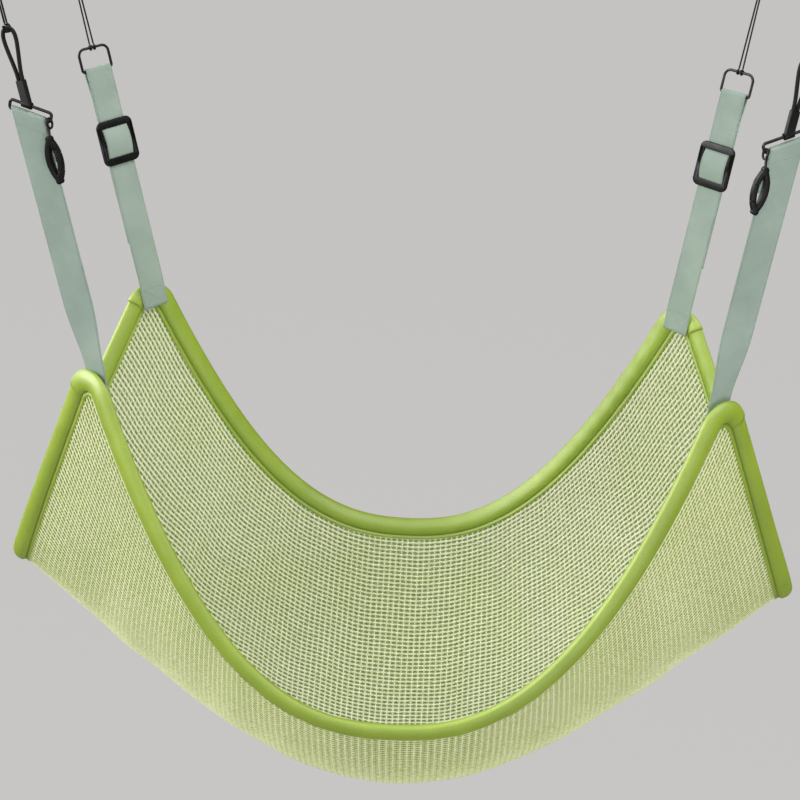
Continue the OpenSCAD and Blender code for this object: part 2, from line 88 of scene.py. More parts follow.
def slope_u(u, v):
    """How the surface runs along the bed, for a step of 1 in u."""
    return (surf(np.asarray(u) + STEP, v) - surf(np.asarray(u) - STEP, v)) / (2 * STEP)


def slope_v(u, v):
    """How the surface runs across the bed, for a step of 1 in v."""
    return (surf(u, np.asarray(v) + STEP) - surf(u, np.asarray(v) - STEP)) / (2 * STEP)


def normal(u, v):
    return unit(np.cross(slope_u(u, v), slope_v(u, v)))


CUT_U = CORNER_CUT / np.linalg.norm(slope_u(1, 1))
CUT_V = CORNER_CUT / np.linalg.norm(slope_v(1, 1))


def blunt(turn):
    """Where the cut corner's outline lies, from the long rim at 0 degrees to the short end at 90."""
    s, c = np.sin(np.radians(turn)), np.cos(np.radians(turn))
    return 1 - CUT_U * (1 - np.clip(s, 0, 1) ** BLUNT), 1 - CUT_V * (1 - np.clip(c, 0, 1) ** BLUNT)


# Frames at the front right corner, as a strap on that side has them, and the mirroring to the other corners
SEAM_U, SEAM_V = blunt(45)
NET_IN = normal(SEAM_U, -SEAM_V)


class CornerFrame:
    """Directions at a corner's seam, for the straps of one side."""
    def __init__(self, side):
        lean = math.radians(STRAP_LEAN - side * STRAP_SWAY)
        self.up = np.array([math.sin(lean), 0, math.cos(lean)])
        self.tail_up = unit(self.up - NET_IN * (self.up @ NET_IN))
        self.across = np.cross(NET_IN, self.tail_up)
        self.inward = np.cross(self.up, self.across)
        self.seam = surf(SEAM_U, -SEAM_V) + self.tail_up * (BIND_OUT + STRAP_T / 2 + GAP)
        self.seam = self.seam + NET_IN * (BIND_T / 2 + SEW_GAP + STRAP_T / 2)


FRAMES = {side: CornerFrame(side) for side in (-1, 1)}
BAR_Y = STRAP_T / 2 + RING_WIRE / 2 + GAP
CORNERS = {"front_left": (-1, -1), "front_right": (1, -1), "rear_left": (-1, 1), "rear_right": (1, 1)}


def flip(p, corner):
    """Points at the front corner of the right side, moved to a corner by mirroring."""
    side, end = CORNERS[corner]
    return np.asarray(p) * [side, -end, 1]


def eased(part):
    """A share from 0 to 1 that starts and ends gently."""
    return part * part * (3 - 2 * part)


def on_strap(p, corner):
    """Points given across, in and up from a strap's seam. Above it, a front strap turns to face the front."""
    p, (side, end) = np.asarray(p, float), CORNERS[corner]
    f = FRAMES[side]
    across, inward, up = p[..., :1], p[..., 1:2], p[..., 2:3]
    turn = math.radians(STRAP_TURN if end < 0 else 0) * eased(np.clip(up / TURN_LEN, 0, 1))
    x = across * np.cos(turn) + inward * np.sin(turn)
    y = inward * np.cos(turn) - across * np.sin(turn)
    return flip(f.seam + x * f.across + y * f.inward + up * f.up, corner)


def on_tail(p, corner):
    """Points given across, in and up from a seam, in the plane of the strap's sewn tail."""
    p, f = np.asarray(p, float), FRAMES[CORNERS[corner][0]]
    return flip(f.seam + p[..., :1] * f.across + p[..., 1:2] * NET_IN + p[..., 2:3] * f.tail_up, corner)


# Meshes
def volume(v, tris):
    """Six times the volume inside triangles, below 0 where they look inward."""
    a, b, c = v[tris[:, 0]], v[tris[:, 1]], v[tris[:, 2]]
    return float(np.einsum("ij,ij->i", a, np.cross(b, c)).sum())


def triangles(faces):
    """Faces cut into triangles. An array of faces holds quads only."""
    if isinstance(faces, np.ndarray):
        return np.concatenate([faces[:, [0, 1, 2]], faces[:, [0, 2, 3]]])
    return np.array([(f[0], f[i], f[i + 1]) for f in faces for i in range(1, len(f) - 1)])


def mesh_piece(name, verts, faces, material, slot, weave=None):
    """A closed mesh from points in millimetres. Weave is where each point lies on its cloth."""
    verts = np.asarray(verts, float)
    if volume(verts - verts.mean(0), triangles(faces)) < 0:
        faces = [tuple(f)[::-1] for f in faces]
    mesh = bpy.data.meshes.new(name)
    mesh.from_pydata((verts * MM).tolist(), [], [tuple(int(i) for i in f) for f in faces])
    mesh.polygons.foreach_set("use_smooth", [True] * len(mesh.polygons))
    if weave is not None:
        layer = mesh.attributes.new("weave", "FLOAT_VECTOR", "POINT")
        layer.data.foreach_set("vector", np.asarray(weave, np.float32).ravel())
    mesh.materials.append(material)
    mesh.update()
    piece = bpy.data.objects.new(name, mesh)
    bpy.context.scene.collection.objects.link(piece)
    return piece


def ring_faces(n_rings, size):
    """Quads between rings of so many points each."""
    k, i = np.meshgrid(np.arange(n_rings - 1), np.arange(size), indexing="ij")
    j = (i + 1) % size
    quads = np.stack([k * size + i, (k + 1) * size + i, (k + 1) * size + j, k * size + j], -1).reshape(-1, 4)
    return [tuple(q) for q in quads]


def swept(rings):
    """Points and faces of a tube through rings of points, closed at both ends."""
    n, size = rings.shape[:2]
    faces = ring_faces(n, size)
    faces.append(tuple(range(size)))
    faces.append(tuple((n - 1) * size + i for i in range(size))[::-1])
    return rings.reshape(-1, 3), faces


def joined(parts):
    """Several meshes as one."""
    verts, faces, base = [], [], 0
    for v, f in parts:
        verts.append(v)
        faces += [tuple(i + base for i in q) for q in f]
        base += len(v)
    return np.concatenate(verts), faces


def smooth_line(points, per=6):
    """A smooth curve through points, with so many steps from each to the next."""
    p = np.asarray(points, float)
    p = np.concatenate([2 * p[:1] - p[1:2], p, 2 * p[-1:] - p[-2:-1]])
    t = np.linspace(0, 1, per, endpoint=False)[:, None]
    out = []
    for a, b, c, d in zip(p[:-3], p[1:-2], p[2:-1], p[3:]):
        out.append(b + 0.5 * t * (c - a + t * (2 * a - 5 * b + 4 * c - d + t * (3 * (b - c) + d - a))))
    return np.concatenate(out + [p[-2:-1]])


def tube(points, r, sides, ref):
    """A round tube along points, with ref a direction never along it."""
    p = np.asarray(points, float)
    t = unit(np.gradient(p, axis=0))
    a = unit(np.cross(t, ref))
    b = np.cross(t, a)
    ang = np.linspace(0, 2 * np.pi, sides, endpoint=False)
    ring = np.cos(ang)[None, :, None] * a[:, None] + np.sin(ang)[None, :, None] * b[:, None]
    return swept(p[:, None] + r * ring)


# Materials
def new_material(name, base, rough, **sockets):
    mat = bpy.data.materials.new(name)
    mat.use_nodes = True
    tree = mat.node_tree
    shader = tree.nodes["Principled BSDF"]
    shader.inputs["Base Color"].default_value = (*base, 1)
    shader.inputs["Roughness"].default_value = rough
    for key, value in sockets.items():
        shader.inputs[key.replace("_", " ")].default_value = value
    return mat, tree, shader


def linear(r, g, b):
    """A screen colour, from 0 to 255, as light."""
    return tuple((c / 255 / 12.92) if c <= 10 else ((c / 255 + 0.055) / 1.055) ** 2.4 for c in (r, g, b))


def add(tree, kind, **values):
    node = tree.nodes.new(kind)
    for key, value in values.items():
        setattr(node, key, value)
    return node


def noise(tree, scale, detail):
    """Soft noise fixed to the piece, so many spots to a metre."""
    node = add(tree, "ShaderNodeTexNoise")
    node.inputs["Scale"].default_value = scale
    node.inputs["Detail"].default_value = detail
    node.inputs["Roughness"].default_value = 0.55
    place = add(tree, "ShaderNodeTexCoord").outputs["Object"]
    tree.links.new(place, node.inputs["Vector"])
    return node.outputs["Fac"]


def ramp(tree, fac, stops):
    """Colours at places from 0 to 1, blended between."""
    node = add(tree, "ShaderNodeValToRGB")
    while len(node.color_ramp.elements) < len(stops):
        node.color_ramp.elements.new(0.5)
    for element, (at, colour) in zip(node.color_ramp.elements, stops):
        element.position = at
        element.color = (*colour, 1)
    tree.links.new(fac, node.inputs["Fac"])
    return node.outputs["Color"]


def maths(tree, kind, a, b=None):
    node = add(tree, "ShaderNodeMath", operation=kind)
    for slot, value in zip(node.inputs, (a, b)):
        if value is None:
            continue
        if isinstance(value, (int, float)):
            slot.default_value = value
        else:
            tree.links.new(value, slot)
    return node.outputs[0]


def mix(tree, fac, a, b, kind="MIX"):
    node = add(tree, "ShaderNodeMix", data_type="RGBA", blend_type=kind)
    for slot, value in ((node.inputs[0], fac), (node.inputs[6], a), (node.inputs[7], b)):
        if isinstance(value, (int, float)):
            slot.default_value = value
        elif isinstance(value, tuple):
            slot.default_value = (*value, 1)
        else:
            tree.links.new(value, slot)
    return node.outputs[2]


def bump(tree, shader, height, strength, distance):
    node = add(tree, "ShaderNodeBump")
    node.inputs["Strength"].default_value = strength
    node.inputs["Distance"].default_value = distance
    tree.links.new(height, node.inputs["Height"])
    tree.links.new(node.outputs["Normal"], shader.inputs["Normal"])


def cloth_axes(tree):
    """Where a point lies on its cloth: along, across, and a third number, in millimetres."""
    split = add(tree, "ShaderNodeSeparateXYZ")
    weave = add(tree, "ShaderNodeAttribute", attribute_name="weave")
    tree.links.new(weave.outputs["Vector"], split.inputs[0])
    return split.outputs


def wave(tree, at, period):
    """A sine between -1 and 1 with its period in the same measure as the place."""
    return maths(tree, "SINE", maths(tree, "MULTIPLY", at, 2 * math.pi / period))


def net_material():
    """Knitted yarn in pale beads, with painted shade where the beads meet and along the yarns' sides. Its
    cloth numbers: rungs along, the way out to the ends, the side.
    """
    mat, tree, shader = new_material(
        "net_yarn", linear(214, 222, 176), 0.72, Sheen_Weight=0.25, Sheen_Roughness=0.5)
    along, out, way = cloth_axes(tree)
    side = maths(tree, "ADD", maths(tree, "MULTIPLY", way, 0.5), 0.5)
    fine = noise(tree, 420, 3)
    inner = ramp(tree, fine, [
        (0.3, linear(206, 212, 176)), (0.5, linear(232, 235, 210)), (0.72, linear(249, 250, 236))])
    outer = ramp(tree, fine, [
        (0.3, linear(204, 215, 134)), (0.5, linear(233, 239, 180)), (0.72, linear(250, 251, 222))])
    tone = mix(tree, side, outer, inner)
    # Painted shade: dark lines where the beads meet along each rib, weaker towards the ends
    beat = maths(tree, "ABSOLUTE", wave(tree, along, 2.0))
    bead_shade = ramp(tree, beat, [(0.0, (0.7, 0.74, 0.5)), (0.4, (1, 1, 1))])
    bead_shade = mix(tree, ramp(tree, out, [(0.3, (0, 0, 0)), (0.65, (0.7, 0.7, 0.7))]), bead_shade, (1.0, 1.0, 1.0))
    # Painted shade: each yarn darkens from its ridges towards its sides
    edge = ramp(tree, maths(tree, "ABSOLUTE", way), [(0.1, (0.46, 0.52, 0.22)), (0.6, (1, 1, 1))])
    tone = mix(tree, 1.0, mix(tree, 1.0, tone, bead_shade, "MULTIPLY"), edge, "MULTIPLY")
    warm = ramp(tree, noise(tree, 9, 3), [(0.35, (1, 1, 1)), (0.65, (0.95, 0.98, 0.86))])
    tree.links.new(mix(tree, 1.0, tone, warm, "MULTIPLY"), shader.inputs["Base Color"])
    bump(tree, shader, noise(tree, 1500, 2), 0.6, 0.0004)
    return mat


def hole_shade_material():
    """A dark yarn between the ribs of the net, as painted shade in the net's holes."""
    mat, tree, shader = new_material("net_hole_shade", linear(134, 147, 76), 0.8, Sheen_Weight=0.1)
    tone = ramp(tree, noise(tree, 300, 3), [
        (0.3, linear(108, 120, 56)), (0.55, linear(137, 150, 80)), (0.75, linear(166, 178, 104))])
    tree.links.new(tone, shader.inputs["Base Color"])
    bump(tree, shader, noise(tree, 1500, 2), 0.5, 0.0003)
    return mat


def binding_material():
    """Satin tape, darkened as painted shade in its stitched crease. The third cloth number is 1 in the
    stitched crease and -1 on the lip.
    """
    mat, tree, shader = new_material(
        "binding_tape", linear(150, 178, 22), 0.45, IOR=1.6, Specular_IOR_Level=1.0)
    along, across, fold = cloth_axes(tree)
    patch = noise(tree, 14, 3)
    speck = noise(tree, 900, 2)
    base = ramp(tree, patch, [
        (0.3, linear(140, 168, 12)), (0.55, linear(150, 178, 20)), (0.75, linear(162, 187, 34))])
    base = mix(tree, 0.25, base, ramp(tree, speck, [(0.3, linear(126, 152, 8)), (0.7, linear(176, 196, 60))]))
    place = maths(tree, "ADD", maths(tree, "MULTIPLY", fold, 0.5), 0.5)
    # Painted shade: the tape darkens into the stitched crease, and the roll is a little darker than the lip
    crease = ramp(tree, place, [
        (0.0, (1.0, 1.0, 1.0)), (0.4, (0.94, 0.95, 0.9)), (0.6, (0.94, 0.95, 0.9)), (1.0, (0.3, 0.36, 0.12))])
    tree.links.new(mix(tree, 1.0, base, crease, "MULTIPLY"), shader.inputs["Base Color"])
    weave = maths(tree, "MULTIPLY", wave(tree, along, 0.9), wave(tree, across, 0.9))
    height = maths(tree, "ADD", weave, maths(tree, "MULTIPLY", noise(tree, 60, 4), 3))
    bump(tree, shader, height, 0.3, 0.0002)
    return mat


def webbing_material():
    """Flat woven webbing, with a twill that meets in its middle and a thin line along each edge."""
    mat, tree, shader = new_material(
        "webbing", linear(152, 169, 158), 0.7, Specular_IOR_Level=0.15, Sheen_Weight=0.1, Sheen_Roughness=0.5)
    along, across, _ = cloth_axes(tree)
    twill = wave(tree, maths(tree, "ADD", along, maths(tree, "ABSOLUTE", across)), 2.2)
    rib = wave(tree, along, 0.8)
    height = maths(tree, "ADD", maths(tree, "MULTIPLY", twill, 0.7), maths(tree, "MULTIPLY", rib, 0.4))
    shade = maths(tree, "ADD", maths(tree, "MULTIPLY", twill, 0.12), noise(tree, 26, 3))
    tone = ramp(tree, shade, [
        (0.3, linear(143, 160, 149)), (0.55, linear(153, 170, 159)), (0.75, linear(162, 178, 167))])
    edge = ramp(tree, maths(tree, "DIVIDE", maths(tree, "ABSOLUTE", across), STRAP_W / 2),
                [(0.86, (1, 1, 1)), (0.93, (0.86, 0.87, 0.86)), (1.0, (0.97, 0.97, 0.97))])
    tree.links.new(mix(tree, 1.0, tone, edge, "MULTIPLY"), shader.inputs["Base Color"])
    bump(tree, shader, height, 0.1, 0.0002)
    return mat


def thread_material(name, dark, light):
    mat, tree, shader = new_material(name, light, 0.6, Sheen_Weight=0.2)
    tree.links.new(ramp(tree, noise(tree, 700, 2), [(0.35, dark), (0.7, light)]), shader.inputs["Base Color"])
    bump(tree, shader, noise(tree, 2600, 2), 0.5, 0.0002)
    return mat


def plastic_material():
    mat, tree, shader = new_material("black_plastic", (0.005, 0.005, 0.005), 0.42, Specular_IOR_Level=0.22)
    tone = ramp(tree, noise(tree, 40, 3), [(0.35, (0.0035, 0.0035, 0.0035)), (0.7, (0.007, 0.007, 0.007))])
    tree.links.new(tone, shader.inputs["Base Color"])
    rough = ramp(tree, noise(tree, 90, 4), [(0.3, (0.36,) * 3), (0.7, (0.52,) * 3)])
    tree.links.new(rough, shader.inputs["Roughness"])
    bump(tree, shader, noise(tree, 1100, 3), 0.12, 0.0002)
    return mat


def steel_material():
    mat, tree, shader = new_material("dark_steel", (0.02, 0.02, 0.02), 0.3, Metallic=0.5)
    worn = ramp(tree, noise(tree, 160, 5), [(0.5, (0.012,) * 3), (0.68, (0.03,) * 3), (0.8, (0.08,) * 3)])
    tree.links.new(worn, shader.inputs["Base Color"])
    rough = ramp(tree, noise(tree, 220, 3), [(0.3, (0.26,) * 3), (0.7, (0.42,) * 3)])
    tree.links.new(rough, shader.inputs["Roughness"])
    bump(tree, shader, noise(tree, 900, 2), 0.08, 0.0002)
    return mat


def cord_material():
    mat, tree, shader = new_material("black_cord", (0.006, 0.006, 0.006), 0.68, Specular_IOR_Level=0.25)
    tone = ramp(tree, noise(tree, 1300, 3), [(0.35, (0.003, 0.003, 0.003)), (0.7, (0.013, 0.013, 0.014))])
    tree.links.new(tone, shader.inputs["Base Color"])
    bump(tree, shader, noise(tree, 2400, 3), 0.7, 0.0003)
    return mat


NET, HOLE_SHADE, BINDING, WEBBING = net_material(), hole_shade_material(), binding_material(), webbing_material()
PLASTIC, STEEL, CORD = plastic_material(), steel_material(), cord_material()
LIME_THREAD = thread_material("lime_thread", linear(92, 116, 18), linear(148, 174, 52))
GREY_THREAD = thread_material("grey_thread", linear(108, 124, 114), linear(168, 182, 172))


# Camera at the photograph's place: 72 mm on a 36 mm sensor
def place_camera(at, pitch, yaw, roll):
    """A camera at a place in millimetres, turned by degrees from looking level along +Y."""
    p, y, r = (math.radians(a) for a in (pitch, yaw, roll))
    ahead = np.array([math.sin(y) * math.cos(p), math.cos(y) * math.cos(p), -math.sin(p)])
    right = np.array([math.cos(y), -math.sin(y), 0])
    up = np.cross(right, ahead)
    right, up = math.cos(r) * right + math.sin(r) * up, math.cos(r) * up - math.sin(r) * right
    camera = bpy.data.objects.new("camera", bpy.data.cameras.new("camera"))
    camera.data.sensor_width = 36
    camera.data.lens = 72
    camera.data.clip_end = 60
    turn = Matrix([[right[i], up[i], -ahead[i], at[i] * MM] for i in range(3)] + [[0, 0, 0, 1]])
    camera.matrix_world = turn
    bpy.context.scene.collection.objects.link(camera)
    bpy.context.scene.camera = camera


place_camera(at=(22.4, -1425.5, 896.7), pitch=19.59, yaw=-1.22, roll=2.43)


# Cords
def cord_piece(name, points, d, corner, nodes, **facts):
    """A cord through points in millimetres, hung on a corner's ring."""
    line = smooth_line(points, 5) * MM
    curve = bpy.data.curves.new(name, "CURVE")
    curve.dimensions = "3D"
    curve.bevel_depth = d / 2 * MM
    curve.bevel_resolution = 3
    curve.use_fill_caps = True
    spline = curve.splines.new("POLY")
    spline.points.add(len(line) - 1)
    spline.points.foreach_set("co", np.concatenate([line, np.ones((len(line), 1))], 1).ravel())
    curve.materials.append(CORD)
    piece = bpy.data.objects.new(name, curve)
    bpy.context.scene.collection.objects.link(piece)
    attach(piece, "ring_" + corner)
    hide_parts(*nodes)


# Half a lanyard loop and half a tie cord, sideways and up, in millimetres
LOOP_HALF = [
    (-1.9, 0), (-2, 5), (-2.7, 11), (-3.8, 18), (-4.9, 25), (-5.6, 31), (-5.5, 36),
    (-4.3, 39.6), (-2.2, 41.6)]
LOOP_TOP = 42.1
TIE_RISE = [0, 6, 14, 24, 34, 44, 54, 64, 72]
TIE_EYE = [(-1.1, 80), (-1.1, 90), (-1.9, 95), (-3.4, 99), (-4.2, 103), (-3.8, 107), (-2.1, 109.6)]
TIE_TOP = 110.6
# Half the distance between a tie cord's strands: at a front loop, at a rear ring, and up at the crimp
LOOP_APART, RING_APART, STRAND_X, CRIMP_Z = 1.1, 2.1, 1.1, 80


def there_and_back(half, top):
    """A loop from half of it and the height of its top."""
    return half + [(0, top)] + [(-x, z) for x, z in half[::-1]]


def lifted(flat, y, z):
    """Points given sideways and up, set at a depth and raised."""
    return np.array([(a, y, z + b) for a, b in flat])


def hitch_line(apart, r):
    """The turns of a cow hitch about a bar along x, and the bight over its front."""
    turn = np.radians(np.linspace(0, 285, 26))
    half = np.stack([np.full(len(turn), -apart), r * np.sin(turn), r * np.cos(turn)], -1)
    side = np.array([apart * 0.6, -r - TIE_D * 0.75, r * 0.55])
    over = np.array([0, -r - TIE_D * 0.9, r * 0.62])
    bight = np.stack([side * [-1, 1, 1], over, side])
    return np.concatenate([half, bight, half[::-1] * [-1, 1, 1]])


for corner, (_, end) in CORNERS.items():
    if end < 0:
        top = STRAP_LEN + FRONT_RING_HIGH / math.cos(math.radians(RING_SKEW)) + SLEEVE_LEN
        loop = lifted(there_and_back(LOOP_HALF, LOOP_TOP), BAR_Y, top + WIRE_GAP)
        cord_piece("lanyard_cord_" + corner, on_strap(loop, corner), LANYARD_D, corner,
                   ["lanyard_loop_" + corner], far_end="object", stiffness="medium", lay="taut")
        hang = np.array([0, BAR_Y, top + LOOP_TOP])
        apart, r = LOOP_APART, LANYARD_D / 2 + LOOP_GAP + TIE_D / 2
    else:
        hang = np.array([0, -BAR_Y, STRAP_LEN + REAR_RING_HIGH])
        apart, r = RING_APART, RING_WIRE / 2 + WIRE_GAP + TIE_D / 2
    half = [(-apart * (1 - z / CRIMP_Z) - STRAND_X * z / CRIMP_Z, z) for z in TIE_RISE] + TIE_EYE
    line = lifted(there_and_back(half, TIE_TOP), hang[1], hang[2] + r + TIE_D / 2 + 0.05)
    cord_piece("tie_" + corner, on_strap(line, corner), TIE_D, corner, ["tie_cord_" + corner],
               far_end="object", stiffness="limp", lay="taut")
    knot = smooth_line(hitch_line(apart, r), 2) + hang
    # A direction near the bar's, so that it never lies along the cord
    ref = on_strap([0.9, 0.2, STRAP_LEN + 0.3], corner) - on_strap([0, 0, STRAP_LEN], corner)
    piece = mesh_piece("knot_" + corner, *tube(on_strap(knot, corner), TIE_D / 2, 8, ref), CORD, "cord")
    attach(piece, "ring_" + corner)
    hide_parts("hitch_" + corner)


def run_along(line):
    """The distance of each point of a line from its start."""
    return np.concatenate([[0], np.cumsum(np.linalg.norm(np.diff(line, axis=0), axis=1))])


# The net: ribs along the bed and rungs across it, evenly spaced over the curved surface
NET_RIBS, NET_RUNGS = 119, 144
# Half widths and half thicknesses of its yarns and of the dark yarns of painted shade in its holes. The rungs
# thin out towards the ends
RIB_W, RIB_T, RUNG_W, RUNG_THINS, RUNG_T, HOLE_SHADE_W, HOLE_SHADE_T = 1.75, 0.8, 1.25, 0.5, 0.45, 0.5, 0.25
# How far the ribs sway from rung to rung, how far they wander, and the ripples' sizes across and up
RIB_SWAY, RIB_WANDER, RIPPLE_ACROSS, RIPPLE_UP = 0.3, 0.09, 1.3, 0.7


def net_grid(ribs, rungs):
    """Where the ribs and rungs cross, in u and v."""
    fine = np.linspace(-1, 1, 321)
    share = (np.arange(ribs) + 0.5) / ribs
    v_rib = []
    for at in fine:
        run = run_along(surf(at, fine))
        v_rib.append(np.interp(share * run[-1], run, fine))
    v_rib = np.stack(v_rib)
    u, v = np.empty((ribs, rungs)), np.empty((ribs, rungs))
    step = (np.arange(rungs) + 0.5) / rungs
    for i in range(ribs):
        run = run_along(surf(fine, v_rib[:, i]))
        u[i] = np.interp(step * run[-1], run, fine)
        v[i] = np.interp(u[i], fine, v_rib[:, i])
    return u, v


def inside(u, v):
    """Whether points lie within the outline with its blunt corners."""
    a = np.clip((np.abs(u) - 1 + CUT_U) / CUT_U, 0, None)
    b = np.clip((np.abs(v) - 1 + CUT_V) / CUT_V, 0, None)
    return a ** (2 / BLUNT) + b ** (2 / BLUNT) <= 1


class Yarns:
    """Yarns of four-cornered section, gathered into one mesh."""
    def __init__(self):
        self.verts, self.faces, self.sides, self.base = [], [], [], 0

    def lay(self, p, n, half_w, half_t, along, out):
        """One yarn through points with the directions their faces look, and its cloth numbers."""
        count = len(p)
        if count < 4:
            return
        b = unit(np.cross(n, unit(np.gradient(p, axis=0))))
        rings = np.stack([p + n * half_t, p + b * half_w, p - n * half_t, p - b * half_w], 1)
        k, i = np.meshgrid(np.arange(count - 1), np.arange(4), indexing="ij")
        j = (i + 1) % 4
        quads = np.stack([k * 4 + i, k * 4 + j, (k + 1) * 4 + j, (k + 1) * 4 + i], -1).reshape(-1, 4)
        ends = np.array([[0, 1, 2, 3], [count * 4 - 1, count * 4 - 2, count * 4 - 3, count * 4 - 4]])
        self.faces.append(np.concatenate([quads, ends]) + self.base)
        self.verts.append(rings.reshape(-1, 3))
        way = np.tile([1.0, 0.0, -1.0, 0.0], count)
        self.sides.append(np.stack([np.repeat(along, 4), np.repeat(out, 4), way], -1))
        self.base += count * 4

    def piece(self, name, material):
        verts, faces, weave = (np.concatenate(a) for a in (self.verts, self.faces, self.sides))
        piece = mesh_piece(name, verts, faces, material, "net", weave)
        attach(piece, "bed")
        return piece


def thinned(on, every):
    """Every so many of a row of places, and its last."""
    return np.unique(np.concatenate([on[::every], on[-1:]]))


def build_net():
    ribs, rungs = NET_RIBS, NET_RUNGS
    u, v = net_grid(ribs, rungs)
    spot, up, keep = surf(u, v), normal(u, v), inside(u, v)
    across = unit(np.gradient(spot, axis=0))
    # Soft ripples towards the ends, none at the edges
    free = (1 - np.abs(u) ** 10) * (1 - np.abs(v) ** 10) * (0.25 + np.abs(u))
    ripple = np.sin(u * 27 + v * 3.1) + 0.6 * np.sin(u * 41 - v * 5.3 + 1.1)
    ripple = (free * ripple)[..., None]
    spot = spot + across * RIPPLE_ACROSS * ripple + up * RIPPLE_UP * ripple
    odd = np.add.outer(np.arange(ribs), np.arange(rungs)) % 2
    sway = np.where(odd == 0, RIB_SWAY, -RIB_SWAY)
    wander = rng.normal(0, RIB_WANDER, (ribs, rungs))
    spot_rib = spot + across * (sway + wander)[..., None]
    net, hole_shade = Yarns(), Yarns()
    for i in range(ribs):
        on = np.flatnonzero(keep[i])
        net.lay(spot_rib[i, on], up[i, on], RIB_W, RIB_T, on + 0.5, np.abs(u[i, on]))
    for j in range(rungs):
        on = thinned(np.flatnonzero(keep[:, j]), 3)
        far = np.abs(u[on, j])
        half_w = RUNG_W - RUNG_THINS * far.mean()
        net.lay(spot[on, j], up[on, j], half_w, RUNG_T, np.full(len(on), 0.5), far)
    # Dark yarns between neighbouring ribs: painted shade in the net's holes
    for i in range(ribs - 1):
        on = thinned(np.flatnonzero(keep[i] & keep[i + 1]), 2)
        between = (spot[i, on] + spot[i + 1, on]) / 2
        hole_shade.lay(between, up[i, on], HOLE_SHADE_W, HOLE_SHADE_T, on, np.abs(u[i, on]))
    piece = net.piece("net", NET)
    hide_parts("mesh_bed")
    hole_shade.piece("net_hole_shade", HOLE_SHADE)


build_net()


# Bindings: a padded roll with a stitched groove and a thin lip on the net
# A few points lead in and out of each edge, for its directions at both ends
LEAD = CUT_V * np.linspace(0.5, 0.1, 4)


def long_edge():
    """The front rim with the blunt corners at both its ends, in u and v."""
    arc_u, arc_v = blunt(np.linspace(90, 0, 19))
    rim = np.linspace(-1, 1, 241)[1:-1] * (1 - CUT_U)
    ones = np.ones(len(LEAD))
    u = np.concatenate([-ones, -arc_u, rim, arc_u[::-1], ones])
    foot = -1 + CUT_V
    v = np.concatenate([foot + LEAD, -arc_v, -np.ones(len(rim)), -arc_v[::-1], foot + LEAD[::-1]])
    return u, v


def short_edge():
    """The right end between its blunt corners, in u and v."""
    reach = 1 - CUT_V + END_TUCK * CUT_V / CORNER_CUT
    v = np.concatenate([-reach - LEAD, np.linspace(-1, 1, 141) * reach, reach + LEAD[::-1]])
    return np.ones(len(v)), v


def evenly(u, v, step, look=1.2):
    """Points every step along an edge, and its directions there, without the lead at both ends."""
    p = surf(u, v)
    run = run_along(p)
    first, last = run[len(LEAD)], run[-1 - len(LEAD)]
    s = np.linspace(first, last, int((last - first) / step) + 1)
    du, dv = np.interp(s, run, u), np.interp(s, run, v)
    ahead = np.stack([np.interp(s + look, run, q) - np.interp(s - look, run, q) for q in p.T], -1)
    up = normal(du, dv)
    ahead = unit(ahead - up * np.einsum("ij,ij->i", ahead, up)[:, None])
    return surf(du, dv), up, ahead, np.cross(up, ahead), s - s[0]


# Half of the roll's section, inward and up, from the lip over the crease and the roll to the outer edge
HALF_SECTION = np.array([
    (12, 0.75), (11.7, 1.5), (10.8, 1.95), (9.6, 1.9), (8.7, 1.45), (8.1, 1.25), (7.5, 1.7), (6.7, 2.9),
    (5.2, 4.2), (3, 5.1), (0.2, 5.55), (-2.8, 5.5), (-5.8, 4.9), (-8.6, 3.7), (-10.7, 2.1)])
SECTION = np.concatenate([HALF_SECTION, [(-12, 0)], HALF_SECTION[::-1] * [1, -1]])
# How deep in the crease each point lies, with -1 for the lip
HALF_FOLD = np.array([-1, -1, -0.9, -0.5, 0.5, 1, 0.7, 0.1] + [0] * 7)
FOLD = np.concatenate([HALF_FOLD, [0], HALF_FOLD[::-1]])
# Where the stitches lie, inward and up, and every how many sections there is one
STITCH_IN, STITCH_UP, STITCH_EVERY = 8.1, 1.3, 2
# Half the length, half the width and half the height of a stitch on a binding, a tail and a hem
BINDING_STITCH, TAIL_STITCH, HEM_STITCH = (1.55, 0.42, 0.42), (1.0, 0.28, 0.22), (0.85, 0.26, 0.2)
# The distance from one section of the roll to the next
ROLL_STEP = 2.5
# How much fuller the roll is than its solid, the length at each corner where the sewn tail leaves no room for
# that, and the length over which it comes in
PLUMP, TAIL_ROOM, PLUMP_IN = 1.12, 70, 40
# The height under which the section belongs to the flat lip
LIP_TOP = 1.8
# Shares of the height by which the roll swells, in long and short waves, and how far it slips sideways
SWELL_LONG, SWELL_SHORT, SLIP = 0.035, 0.025, 0.25


def stitches(spots, along, up, long, wide, high):
    """Small rounded stitches at spots, lying along one direction on a face."""
    side = np.cross(up, along)
    size = 6
    ring = [(math.cos(a), math.sin(a)) for a in np.linspace(0, 2 * np.pi, size, endpoint=False)]
    shape = [(-long, 0, 0)]
    for x, w in ((-0.7, 0.75), (0, 1), (0.7, 0.75)):
        shape += [(x * long, a * wide * w, b * high * w) for a, b in ring]
    shape = np.array(shape + [(long, 0, 0)])
    faces = []
    for i in range(size):
        j = (i + 1) % size
        faces.append((0, 1 + j, 1 + i))
        for low in (1, 1 + size):
            faces.append((low + i, low + j, low + size + j, low + size + i))
        faces.append((1 + 2 * size + i, 1 + 2 * size + j, len(shape) - 1))
    verts = spots[:, None]
    for k, way in enumerate((along, side, up)):
        verts = verts + shape[None, :, k:k + 1] * way[:, None]
    all_faces = [tuple(i + k * len(shape) for i in f) for k in range(len(spots)) for f in faces]
    return verts.reshape(-1, 3), all_faces


